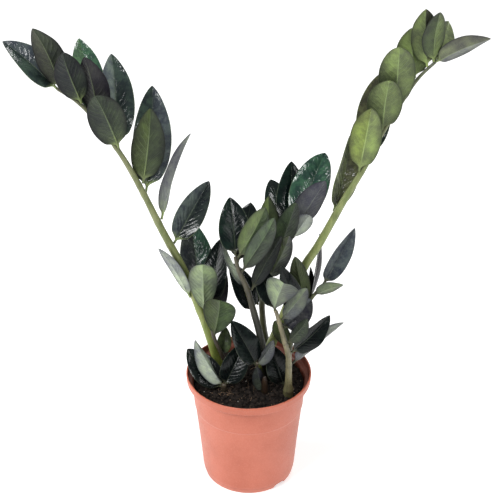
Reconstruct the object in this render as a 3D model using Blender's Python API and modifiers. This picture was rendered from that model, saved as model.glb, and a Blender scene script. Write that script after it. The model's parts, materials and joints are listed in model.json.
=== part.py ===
"""A potted ZZ plant (Zamioculcas, dark-leaved kind) in a plain plastic nursery pot.

Frame: metres, +Z up. The origin is the centre of the pot's underside, on the
surface the pot stands on. -Y is the display side, +X its right-hand side.
Every leaflet, stem, short shoot, the soil plug and the pot is an object of its own.
"""

import math

import bmesh
import bpy
from mathutils import Vector

MM = 0.001

# ---------------------------------------------------------------- dimensions
POT_HEIGHT = 117.0
RIM_RADIUS = 60.0
FOOT_RADIUS = 42.0
WALL = 1.4
FLOOR = 1.8
SOIL_TOP = 106.0
SOIL_GAP = 0.35          # soil plug to pot, and soil to each stem
NOTCH_RADIUS = 7.2       # half the width of a drainage notch in the foot
NOTCH_HEIGHT = 6.0
NOTCH_BEARINGS = (44.0, 164.0, -76.0)   # degrees, from the display side towards +X
POT_STEPS = 40

STALK_RADIUS = 1.15      # of the little stalk that carries each leaflet
LEAF_THICKNESS = 0.75
MIDRIB_THICKNESS = 1.5
LEAF_GAP = 0.35          # leaflet stalk to stem

# ------------------------------------------------------------------- stems
# Each stem: points of its centre line and the radius there, in mm (x, y, z, r).
STEMS = {
    "left_frond_stem": (
        (-26, 15, 96, 4.6), (-30, 15, 118, 4.8), (-42, 15, 165, 4.4), (-60, 17, 219, 3.9),
        (-79, 20, 261, 3.4), (-97, 22, 304, 2.8), (-114, 25, 338, 2.3), (-135, 28, 370, 1.9),
        (-150, 31, 387, 1.6), (-168, 34, 399, 1.3)),
    "right_frond_stem": (
        (6, 9, 96, 4.8), (14, 9, 120, 4.8), (32, 12, 170, 4.4), (50, 18, 220, 4.1),
        (65, 22, 246, 3.8), (87, 30, 288, 3.3), (106.5, 35, 323, 2.4), (119, 40, 350, 2.0),
        (133.5, 45, 375, 1.7), (149, 48, 401, 1.5), (164, 50, 417, 1.3)),
    "centre_frond_stem": (
        (17, -1, 96, 3.8), (17, -2, 115, 3.9), (12, -5, 155, 3.5), (3, -8, 198, 3.0),
        (-2, -10, 219, 2.6), (-9, -12, 239, 2.1), (-12, -14, 254, 1.5)),
    "back_frond_stem": (
        (25, 27, 96, 3.4), (24, 27, 108, 3.6), (16, 25, 139, 3.3), (13, 22, 167, 3.0),
        (13, 18, 190, 2.7), (19, 16, 217, 2.4), (28, 16, 237, 2.2), (37, 17, 253, 1.8),
        (44, 18, 268, 1.4)),
    "front_frond_stem": (
        (37, -22, 96, 4.4), (37.5, -22, 107, 5.2), (37.5, -23, 118, 3.8), (37.5, -24, 132, 3.1),
        (37, -25, 153, 2.7), (33, -27, 171, 2.4), (26, -30, 202, 1.8), (24, -31, 208, 1.4)),
}

# Short shoots, each grown as one piece with its few leaflets.
SHOOTS = {
    "right_back_shoot": (
        (38, 0, 96, 2.6), (38, 1, 122, 2.6), (40.2, 3, 149, 2.3), (48.2, 6, 176, 2.0),
        (57.6, 10, 192, 1.7), (71.5, 14, 209, 1.2)),
    "left_front_shoot": (
        (-24, -19, 96, 2.6), (-24, -19, 107, 2.7), (-23.5, -19, 115, 2.2)),
    "left_middle_shoot": (
        (-19, 2, 96, 2.6), (-20, 2, 112, 2.5), (-23, 1, 128, 2.1), (-33, -1, 158, 1.7),
        (-35, 5, 176, 1.5), (-33, 12, 188, 1.2)),
    "front_stub_shoot": (
        (15, -20, 96, 3.2), (15, -20, 108, 3.5), (15, -20, 118, 3.0), (15, -20, 124, 1.8)),
    "middle_shoot": (
        (5, -17, 96, 1.9), (6, -17, 112, 1.8), (7, -17, 126, 1.6), (8, -17, 139, 1.2)),
}

# ---------------------------------------------------------------- leaflets
# (leaflet, stem, place along the stem 0..1, tip (x, y, z) mm, width mm,
#  turn deg, fold deg).  Turn is the blade's rotation about its own midrib:
# 0 has the glossy face towards the display side, 180 the pale underside.
# Fold is how far each half of the blade rises from flat, and the last number how
# far the blade bows, as a percentage of its length.
LEAFLETS = (
    ("left_leaflet_01", "left_frond_stem", 1.000, (-215, 51, 437), 30, 25, 22, 4),
    ("left_leaflet_02", "left_frond_stem", 0.990, (-184, 26, 460), 28, 160, 12, 5),
    ("left_leaflet_03", "left_frond_stem", 0.930, (-159, 15, 443), 27, 185, 12, 5),
    ("left_leaflet_04", "left_frond_stem", 0.870, (-142, 31, 431), 28, 165, 15, 5),
    ("left_leaflet_05", "left_frond_stem", 0.880, (-153, 93, 421), 31, 30, 12, 5),
    ("left_leaflet_06", "left_frond_stem", 0.780, (-133, 14, 402), 33, 180, 10, 5),
    ("left_leaflet_07", "left_frond_stem", 0.780, (-124, 86, 409), 34, 15, 15, 5),
    ("left_leaflet_08", "left_frond_stem", 0.630, (-89, 97, 372), 37, 15, 15, 5),
    ("left_leaflet_09", "left_frond_stem", 0.660, (-87, 34, 380), 31, 180, 12, 5),
    ("left_leaflet_10", "left_frond_stem", 0.540, (-54, 64, 340), 25, 252, 20, 3),
    ("left_leaflet_11", "left_frond_stem", 0.460, (-37, 68, 287), 31, 10, 35, 5),
    ("left_leaflet_12", "left_frond_stem", 0.270, (-56, 71, 244), 33, 10, 15, 5),
    ("left_leaflet_13", "left_frond_stem", 0.300, (-82, 5, 253), 14, 140, 12, 4),
    ("left_leaflet_14", "left_frond_stem", 0.240, (-42, -7, 242), 27, 180, 10, 5),
    ("right_leaflet_01", "right_frond_stem", 1.000, (211, 47, 441), 24, 235, 20, 3),
    ("right_leaflet_02", "right_frond_stem", 1.000, (163, 32, 472), 22, 200, 12, 5),
    ("right_leaflet_03", "right_frond_stem", 1.000, (180, 95, 437), 22, 20, 12, 5),
    ("right_leaflet_04", "right_frond_stem", 0.980, (152, 42, 471), 26, 180, 15, 5),
    ("right_leaflet_05", "right_frond_stem", 0.940, (142, 54, 448), 30, 180, 12, 5),
    ("right_leaflet_06", "right_frond_stem", 0.850, (130, 30, 441), 33, 180, 12, 5),
    ("right_leaflet_07", "right_frond_stem", 0.710, (122, 95, 386), 32, 0, 12, 5),
    ("right_leaflet_08", "right_frond_stem", 0.790, (123, 30, 409), 32, 180, 12, 5),
    ("right_leaflet_09", "right_frond_stem", 0.670, (108, 25, 385), 29, 180, 10, 5),
    ("right_leaflet_10", "right_frond_stem", 0.540, (94, 70, 334), 27, 30, 30, 5),
    ("back_leaflet_01", "back_frond_stem", 1.000, (71, 76, 313), 35, -10, 12, 5),
    ("back_leaflet_02", "back_frond_stem", 1.000, (69, 17, 316), 26, 205, 20, 3),
    ("back_leaflet_03", "back_frond_stem", 0.930, (40, 74, 305), 28, 0, 12, 5),
    ("back_leaflet_04", "back_frond_stem", 0.900, (21, 93, 275), 27, 0, 12, 5),
    ("back_leaflet_05", "back_frond_stem", 0.690, (18, 24, 296), 24, 180, 12, 5),
    ("back_leaflet_06", "back_frond_stem", 0.800, (42, -5, 306), 21, 195, 16, 5),
    ("back_leaflet_07", "back_frond_stem", 0.940, (55, 11, 284), 17, 200, 12, 3),
    ("back_leaflet_08", "back_frond_stem", 0.660, (36, -21, 281), 19, 185, 18, 5),
    ("back_leaflet_09", "back_frond_stem", 0.470, (4, 19, 201), 10, 180, 12, 5),
    ("centre_leaflet_01", "centre_frond_stem", 1.000, (-17, 19, 298), 29, 10, 12, 5),
    ("centre_leaflet_02", "centre_frond_stem", 0.950, (2, 46, 277), 27, 0, 12, 5),
    ("centre_leaflet_03", "centre_frond_stem", 1.000, (15, -20, 310), 26, 165, 18, 5),
    ("centre_leaflet_04", "centre_frond_stem", 0.900, (23, -54, 320), 19, 172, 16, 5),
    ("centre_leaflet_05", "centre_frond_stem", 0.760, (-25, 5, 263), 17, 250, 20, 3),
    ("centre_leaflet_06", "centre_frond_stem", 0.750, (29, -16, 278), 15, 180, 14, 5),
    ("centre_leaflet_07", "centre_frond_stem", 0.570, (-18, 24, 225), 24, 25, 15, 5),
    ("front_leaflet_01", "front_frond_stem", 0.980, (7, 19, 224), 22, 20, 15, 5),
    ("front_leaflet_02", "front_frond_stem", 1.000, (31, -53, 252), 30, 180, 12, 5),
    ("front_leaflet_03", "front_frond_stem", 0.890, (53, -31, 232), 18, 165, 20, 5),
    ("front_leaflet_04", "front_frond_stem", 0.790, (59, 6, 195), 26, 20, 15, 5),
    ("front_leaflet_05", "front_frond_stem", 0.650, (54, -42, 206), 17, 150, 20, 5),
    ("front_leaflet_06", "front_frond_stem", 0.520, (76, -6, 185), 24, 35, 20, 5),
    ("front_leaflet_07", "front_frond_stem", 0.410, (89, -4, 176), 24, 240, 20, 3),
    ("front_leaflet_08", "front_frond_stem", 0.140, (22, -7, 152), 24, 0, 15, 5),
    ("rb_leaf_1", "right_back_shoot", 0.830, (67, 43, 245), 18, 75, 15, 2),
    ("rb_leaf_2", "right_back_shoot", 1.000, (99, 41, 252), 21, 25, 25, 3),
    ("rb_leaf_3", "right_back_shoot", 0.880, (87, -5, 219), 14, 225, 15, 3),
    ("rb_leaf_4", "right_back_shoot", 0.750, (42, 3, 245), 18, 180, 12, 5),
    ("rb_leaf_5", "right_back_shoot", 0.760, (58, 25, 219), 15, 60, 15, 3),
    ("rb_leaf_6", "right_back_shoot", 0.660, (30, -1, 237), 22, 10, 15, 5),
    ("rb_leaf_7", "right_back_shoot", 0.400, (24, -10, 182), 15, 180, 12, 5),
    ("lf_leaf_1", "left_front_shoot", 0.880, (-51, -4, 156), 22, 225, 20, 3),
    ("lf_leaf_2", "left_front_shoot", 0.890, (-4, 4, 148), 27, 10, 25, 5),
    ("lf_leaf_3", "left_front_shoot", 0.750, (-59, 11, 135), 27, 0, 15, 5),
    ("lm_leaf_1", "left_middle_shoot", 0.660, (-26, -16, 209), 31, 180, 10, 5),
    ("lm_leaf_2", "left_middle_shoot", 0.810, (-22, 25, 216), 18, 180, 12, 5),
    ("lm_leaf_3", "left_middle_shoot", 1.000, (-27, 52, 233), 25, -20, 12, 5),
    ("lm_leaf_4", "left_middle_shoot", 0.400, (-22, 15, 158), 14, 10, 12, 5),
    ("fs_leaf_1", "front_stub_shoot", 0.420, (7, -22, 138), 14, 210, 15, 5),
    ("md_leaf_1", "middle_shoot", 1.000, (24, -19, 166), 15, 140, 12, 5),
    ("md_leaf_2", "middle_shoot", 0.960, (-16, -7, 180), 26, 20, 15, 5),
)

COLOURS = {
    "pot": ((0.68, 0.23, 0.13, 1), 0.5),
    "soil": ((0.018, 0.012, 0.009, 1), 0.95),
    "stem": ((0.33, 0.40, 0.14, 1), 0.45),
    "dark_stem": ((0.10, 0.10, 0.05, 1), 0.5),
    "leaf": ((0.018, 0.040, 0.022, 1), 0.3),
}


# ------------------------------------------------------------------ helpers
def material(name, key):
    found = bpy.data.materials.get(name)
    if found:
        return found
    made = bpy.data.materials.new(name)
    made.use_nodes = True
    shader = made.node_tree.nodes["Principled BSDF"]
    shader.inputs["Base Color"].default_value = COLOURS[key][0]
    shader.inputs["Roughness"].default_value = COLOURS[key][1]
    shader.inputs["Metallic"].default_value = 0.0
    return made


def smooth_path(points, per_span):
    """Points of a Catmull-Rom curve through the given ones, radius included."""
    ends = [points[0]] + list(points) + [points[-1]]
    made = []
    for a, b, c, d in zip(ends, ends[1:], ends[2:], ends[3:]):
        for k in range(per_span):
            t = k / per_span
            made.append(tuple(
                0.5 * (2 * q + (r - p) * t + (2 * p - 5 * q + 4 * r - s) * t * t
                       + (3 * q - p - 3 * r + s) * t ** 3)
                for p, q, r, s in zip(a, b, c, d)))
    made.append(tuple(float(v) for v in points[-1]))
    return made


def along(points, share):
    """(point, unit tangent, radius) at a share of a stem's length, in mm."""
    path = smooth_path(points, 10)
    spots = [Vector(p[:3]) for p in path]
    steps = [(b - a).length for a, b in zip(spots, spots[1:])]
    want = share * sum(steps)
    for i, step in enumerate(steps):
        if want <= step or i == len(steps) - 1:
            t = min(1.0, want / step)
            spot = spots[i].lerp(spots[i + 1], t)
            radius = path[i][3] + (path[i + 1][3] - path[i][3]) * t
            return spot, (spots[i + 1] - spots[i]).normalized(), radius
        want -= step


def new_object(name, data, collection, mat=None):
    obj = bpy.data.objects.new(name, data)
    collection.objects.link(obj)
    if mat:
        obj.data.materials.append(mat)
    return obj


def tube_curve(name, path, collection, mat, grow=0.0, resolution=2):
    data = bpy.data.curves.new(name, "CURVE")
    data.dimensions = "3D"
    data.bevel_depth = MM
    data.bevel_resolution = resolution
    data.use_fill_caps = True
    spline = data.splines.new("POLY")
    spline.points.add(len(path) - 1)
    for point, (x, y, z, r) in zip(spline.points, path):
        point.co = (x * MM, y * MM, z * MM, 1)
        point.radius = r + grow
    return new_object(name, data, collection, mat)


def as_mesh(obj, collection, mat=None):
    """The curve object made a closed mesh under the same name."""
    graph = bpy.context.evaluated_depsgraph_get()
    mesh = bpy.data.meshes.new_from_object(obj.evaluated_get(graph))
    bm = bmesh.new()
    bm.from_mesh(mesh)
    bmesh.ops.remove_doubles(bm, verts=bm.verts, dist=1e-6)
    bmesh.ops.recalc_face_normals(bm, faces=bm.faces)
    bm.to_mesh(mesh)
    bm.free()
    name = obj.name
    matrix = obj.matrix_world.copy()
    bpy.data.objects.remove(obj)
    mesh.materials.clear()
    made = new_object(name, mesh, collection, mat)
    made.matrix_world = matrix
    mesh.shade_smooth()
    return made


def spin(name, profile, steps, collection, mat):
    """A turned solid: the profile starts on its outer side and runs down."""
    mesh = bpy.data.meshes.new(name)
    mesh.from_pydata([(r * MM, 0, z * MM) for r, z in profile],
                     [(i, i + 1) for i in range(len(profile) - 1)], [])
    obj = new_object(name, mesh, collection, mat)
    screw = obj.modifiers.new("turn", "SCREW")
    screw.steps = screw.render_steps = steps
    screw.use_merge_vertices = True
    screw.merge_threshold = 0.00001
    screw.use_smooth_shade = True
    return obj


def cut(obj, cutter, name):
    cutter.hide_render = True
    cutter.display_type = "WIRE"
    modifier = obj.modifiers.new(name, "BOOLEAN")
    modifier.operation = "DIFFERENCE"
    modifier.solver = "EXACT"
    modifier.object = cutter


# --------------------------------------------------------------- leaf blade
BASE_POWER = 0.56        # how fast the blade widens from its stalk
TIP_POWER = 0.78         # how fast it narrows to its tip
STATIONS = (0.0, 0.05, 0.12, 0.26, 0.44, 0.62, 0.79, 0.92)
ACROSS = (-1.0, -0.55, 0.0, 0.55, 1.0)


def half_width(share):
    """Half width of a leaflet, 1 at its widest: rounded below, acute at the tip."""
    peak = BASE_POWER / (BASE_POWER + TIP_POWER)
    most = peak ** BASE_POWER * (1 - peak) ** TIP_POWER
    return share ** BASE_POWER * (1 - share) ** TIP_POWER / most


def leaf_object(name, base, tip, width, turn, fold, bow, collection, mat):
    """A leaflet: a loft of eight-sided sections, folded along its midrib."""
    run = tip - base
    length = run.length
    along_axis = run / length
    display = Vector((0, -0.8, 0.6))
    face = (display - along_axis * display.dot(along_axis)).normalized()
    side = along_axis.cross(face)
    a = math.radians(turn)
    face, side = face * math.cos(a) + side * math.sin(a), side * math.cos(a) - face * math.sin(a)
    lift = math.radians(fold)
    verts = []
    for u in STATIONS:
        centre = base + run * u + face * (0.01 * bow * length * 4 * u * (1 - u))
        blend = min(1.0, max(0.0, (u - 0.05) / 0.10))
        half = max(width / 2 * half_width(max(0.0, (u - 0.04) / 0.96)), STALK_RADIUS * 1.1)
        top, low = [], []
        for q in ACROSS:
            flat_x = q * half * math.cos(lift)
            flat_z = abs(q) * half * math.sin(lift) + 0.10 * half * abs(q) * (1 - abs(q)) * 4 * 0.5
            under = (MIDRIB_THICKNESS if q == 0 else LEAF_THICKNESS) * (1 - 0.35 * u)
            round_x = q * STALK_RADIUS
            round_z = STALK_RADIUS * math.sqrt(max(0.0, 1 - q * q))
            x = round_x + (flat_x - round_x) * blend
            top.append((x, round_z * (1 - blend) + flat_z * blend))
            low.append((x, -round_z * (1 - blend) + (flat_z - under) * blend))
        for x, z in top + low[3:0:-1]:
            verts.append(centre + side * x + face * z)
    verts.append(Vector(tip))
    ring = 8
    faces = [tuple(range(ring))]
    for i in range(len(STATIONS) - 1):
        for k in range(ring):
            j = (k + 1) % ring
            faces.append((i * ring + k, i * ring + j, (i + 1) * ring + j, (i + 1) * ring + k))
    last = (len(STATIONS) - 1) * ring
    for k in range(ring):
        faces.append((last + k, last + (k + 1) % ring, len(verts) - 1))
    mesh = bpy.data.meshes.new(name)
    mesh.from_pydata([v * MM for v in verts], [], faces)
    bm = bmesh.new()
    bm.from_mesh(mesh)
    bmesh.ops.recalc_face_normals(bm, faces=bm.faces)
    bm.to_mesh(mesh)
    bm.free()
    mesh.shade_smooth()
    return new_object(name, mesh, collection, mat)


def leaf_base(points, share, tip, clear):
    """Where a leaflet's stalk starts: beside its stem, or inside it if they are one piece."""
    spot, tangent, radius = along(points, share)
    run = (tip - spot).normalized()
    across = run - tangent * run.dot(tangent)
    lean = abs(run.dot(tangent))
    if share > 0.985:
        ahead = spot + tangent * (LEAF_GAP + STALK_RADIUS * math.sqrt(max(0.0, 1 - lean * lean)))
        if clear and across.length < 0.55:
            return ahead
    across.normalize()
    if not clear:
        return spot + across * radius * 0.35 - tangent * (2.5 if share > 0.95 else 0.0)
    return spot + across * (radius + LEAF_GAP + STALK_RADIUS * lean)


# --------------------------------------------------------------------- build
for old in list(bpy.data.objects):
    bpy.data.objects.remove(old)

scene = bpy.context.scene
plant = bpy.data.collections.new("potted_zz_plant")
helpers = bpy.data.collections.new("cutters")
scene.collection.children.link(plant)
scene.collection.children.link(helpers)

# pot: rim collar, stacking step a third of the way down, tapered wall, flat floor
OUTER = (
    (RIM_RADIUS - 1.3, POT_HEIGHT), (RIM_RADIUS - 0.4, POT_HEIGHT - 0.3),
    (RIM_RADIUS, POT_HEIGHT - 1.1), (RIM_RADIUS - 0.5, POT_HEIGHT - 7.6),
    (RIM_RADIUS - 1.2, POT_HEIGHT - 8.3), (55.4, 108.0), (54.6, 107.0),
    (52.4, 81.6), (51.6, 80.0), (47.6, 40.0), (45.0, 9.0), (44.3, 5.5),
    (43.2, 1.2), (FOOT_RADIUS, 0.0), (0.0, 0.0))
INNER = (
    (0.0, FLOOR), (40.6, FLOOR), (42.6, 4.0), (43.6, 10.0), (46.2, 40.0),
    (50.2, 79.6), (51.0, 81.2), (53.2, 106.4), (54.2, 108.6),
    (RIM_RADIUS - 2.4, POT_HEIGHT - 7.0), (RIM_RADIUS - 1.9, POT_HEIGHT - 0.6),
    (RIM_RADIUS - 1.3, POT_HEIGHT))
pot = spin("pot", OUTER + INNER, POT_STEPS, plant, material("terracotta_plastic", "pot"))
for n, bearing in enumerate(NOTCH_BEARINGS):
    turned = math.radians(bearing)
    outward = Vector((math.sin(turned), -math.cos(turned), 0))
    notch = bpy.data.meshes.new("notch_%d" % (n + 1))
    bm = bmesh.new()
    bmesh.ops.create_cone(bm, cap_ends=True, segments=16, radius1=NOTCH_RADIUS * MM,
                          radius2=NOTCH_RADIUS * MM, depth=9 * MM)
    bm.to_mesh(notch)
    bm.free()
    cutter = new_object("notch_%d" % (n + 1), notch, helpers)
    cutter.rotation_euler = outward.to_track_quat("Z", "Y").to_euler()
    cutter.location = outward * 44.8 * MM
    # the cylinder lies along the bearing; flattened, it makes a low arch
    cutter.scale = (1, NOTCH_HEIGHT / NOTCH_RADIUS, 1)
    cut(pot, cutter, "notch_%d" % (n + 1))

# soil plug: fills the pot to SOIL_TOP, a little higher in the middle
g = SOIL_GAP
SOIL = (
    (0.0, SOIL_TOP + 1.6), (18.0, SOIL_TOP + 1.3), (34.0, SOIL_TOP + 0.4), (46.0, SOIL_TOP - 0.6),
    (52.4 - g, SOIL_TOP - 1.4), (53.0 - g, SOIL_TOP - 2.4), (51.0 - g, 81.2), (50.2 - g, 79.4),
    (46.2 - g, 40.0), (43.6 - g, 10.2), (42.6 - g, 4.3), (40.4 - g, FLOOR + g), (0.0, FLOOR + g))
soil = spin("soil", SOIL, 32, plant, material("potting_soil", "soil"))

# stems
stem_mat = material("pale_green_stem", "stem")
dark_stem_mat = material("brown_stem", "dark_stem")
leaf_mat = material("dark_leaf", "leaf")
for group in (STEMS, SHOOTS):
    for name, points in group.items():
        path = smooth_path(points, 2)
        below = [p for p in path if p[2] < 112]
        x, y, z, r = path[0]
        socket = [(x, y, z - SOIL_GAP, r)] + below[1:] + [path[len(below)]]
        cutter = as_mesh(tube_curve("pocket_" + name, socket, helpers, None, grow=SOIL_GAP), helpers)
        cut(soil, cutter, "pocket_" + name)
        if group is STEMS:
            pale = name in ("left_frond_stem", "right_frond_stem", "front_frond_stem")
            tube_curve(name, path, plant, stem_mat if pale else dark_stem_mat)
        else:
            as_mesh(tube_curve(name, path, plant, None), plant, dark_stem_mat)

# leaflets
for name, stem, share, tip, width, turn, fold, bow in LEAFLETS:
    tip = Vector(tip)
    if stem in STEMS:
        base = leaf_base(STEMS[stem], share, tip, True)
        leaf_object(name, base, tip, width, turn, fold, bow, plant, leaf_mat)
    else:
        base = leaf_base(SHOOTS[stem], share, tip, False)
        blade = leaf_object(name, base, tip, width, turn, fold, bow, helpers, leaf_mat)
        blade.hide_render = True
        blade.display_type = "WIRE"
        joined = bpy.data.objects[stem].modifiers.new(name, "BOOLEAN")
        joined.operation = "UNION"
        joined.solver = "EXACT"
        joined.use_self = True
        joined.object = blade
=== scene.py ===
"""Looks for a potted ZZ plant (Zamioculcas, dark-leaved kind) in a plain plastic nursery pot.

Every CAD solid is stood for by a fine surface: veined leaf blades, fleshy stems with
leaf scars, crumbly soil and a moulded pot. Units are metres, and the tables in mm.
"""

import json
import math
import random

import bmesh
import bpy
import numpy as np
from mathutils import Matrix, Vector, noise

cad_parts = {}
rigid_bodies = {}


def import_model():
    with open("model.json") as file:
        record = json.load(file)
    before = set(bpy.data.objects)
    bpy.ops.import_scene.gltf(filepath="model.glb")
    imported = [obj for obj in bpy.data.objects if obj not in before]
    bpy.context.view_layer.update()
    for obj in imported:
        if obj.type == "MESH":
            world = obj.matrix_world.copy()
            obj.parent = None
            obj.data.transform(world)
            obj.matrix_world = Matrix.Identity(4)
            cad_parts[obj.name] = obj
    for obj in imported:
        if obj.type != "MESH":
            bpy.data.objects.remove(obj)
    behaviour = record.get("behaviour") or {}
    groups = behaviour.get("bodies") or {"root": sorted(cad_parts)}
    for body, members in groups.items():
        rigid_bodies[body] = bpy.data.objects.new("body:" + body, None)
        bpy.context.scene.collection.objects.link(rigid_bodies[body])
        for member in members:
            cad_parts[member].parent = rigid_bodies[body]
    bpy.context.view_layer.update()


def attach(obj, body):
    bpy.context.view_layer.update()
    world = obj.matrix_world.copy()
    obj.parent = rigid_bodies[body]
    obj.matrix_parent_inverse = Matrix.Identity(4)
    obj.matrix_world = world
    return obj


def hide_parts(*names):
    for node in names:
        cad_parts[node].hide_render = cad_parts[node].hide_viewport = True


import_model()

MM = 0.001
BODY = "root"

# -------------------------------------------------- the design, as in the CAD
POT_HEIGHT = 117.0
RIM_RADIUS = 60.0
FOOT_RADIUS = 42.0
WALL = 1.4
FLOOR = 1.8
SOIL_TOP = 106.0
SOIL_GAP = 0.35
NOTCH_RADIUS = 7.2
NOTCH_HEIGHT = 6.0
NOTCH_BEARINGS = (44.0, 164.0, -76.0)
STALK_RADIUS = 1.15
LEAF_GAP = 0.35

# Stems and shoots: points of the centre line and the radius there, in mm (x, y, z, r).
STEMS = {
    "left_frond_stem": (
        (-26, 15, 96, 4.6), (-30, 15, 118, 4.8), (-42, 15, 165, 4.4), (-60, 17, 219, 3.9),
        (-79, 20, 261, 3.4), (-97, 22, 304, 2.8), (-114, 25, 338, 2.3), (-135, 28, 370, 1.9),
        (-150, 31, 387, 1.6), (-168, 34, 399, 1.3)),
    "right_frond_stem": (
        (6, 9, 96, 4.8), (14, 9, 120, 4.8), (32, 12, 170, 4.4), (50, 18, 220, 4.1),
        (65, 22, 246, 3.8), (87, 30, 288, 3.3), (106.5, 35, 323, 2.4), (119, 40, 350, 2.0),
        (133.5, 45, 375, 1.7), (149, 48, 401, 1.5), (164, 50, 417, 1.3)),
    "centre_frond_stem": (
        (17, -1, 96, 3.8), (17, -2, 115, 3.9), (12, -5, 155, 3.5), (3, -8, 198, 3.0),
        (-2, -10, 219, 2.6), (-9, -12, 239, 2.1), (-12, -14, 254, 1.5)),
    "back_frond_stem": (
        (25, 27, 96, 3.4), (24, 27, 108, 3.6), (16, 25, 139, 3.3), (13, 22, 167, 3.0),
        (13, 18, 190, 2.7), (19, 16, 217, 2.4), (28, 16, 237, 2.2), (37, 17, 253, 1.8),
        (44, 18, 268, 1.4)),
    "front_frond_stem": (
        (37, -22, 96, 4.4), (37.5, -22, 107, 5.2), (37.5, -23, 118, 3.8), (37.5, -24, 132, 3.1),
        (37, -25, 153, 2.7), (33, -27, 171, 2.4), (26, -30, 202, 1.8), (24, -31, 208, 1.4)),
}
SHOOTS = {
    "right_back_shoot": (
        (38, 0, 96, 2.6), (38, 1, 122, 2.6), (40.2, 3, 149, 2.3), (48.2, 6, 176, 2.0),
        (57.6, 10, 192, 1.7), (71.5, 14, 209, 1.2)),
    "left_front_shoot": (
        (-24, -19, 96, 2.6), (-24, -19, 107, 2.7), (-23.5, -19, 115, 2.2)),
    "left_middle_shoot": (
        (-19, 2, 96, 2.6), (-20, 2, 112, 2.5), (-23, 1, 128, 2.1), (-33, -1, 158, 1.7),
        (-35, 5, 176, 1.5), (-33, 12, 188, 1.2)),
    "front_stub_shoot": (
        (15, -20, 96, 3.2), (15, -20, 108, 3.5), (15, -20, 118, 3.0), (15, -20, 124, 1.8)),
    "middle_shoot": (
        (5, -17, 96, 1.9), (6, -17, 112, 1.8), (7, -17, 126, 1.6), (8, -17, 139, 1.2)),
}

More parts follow.
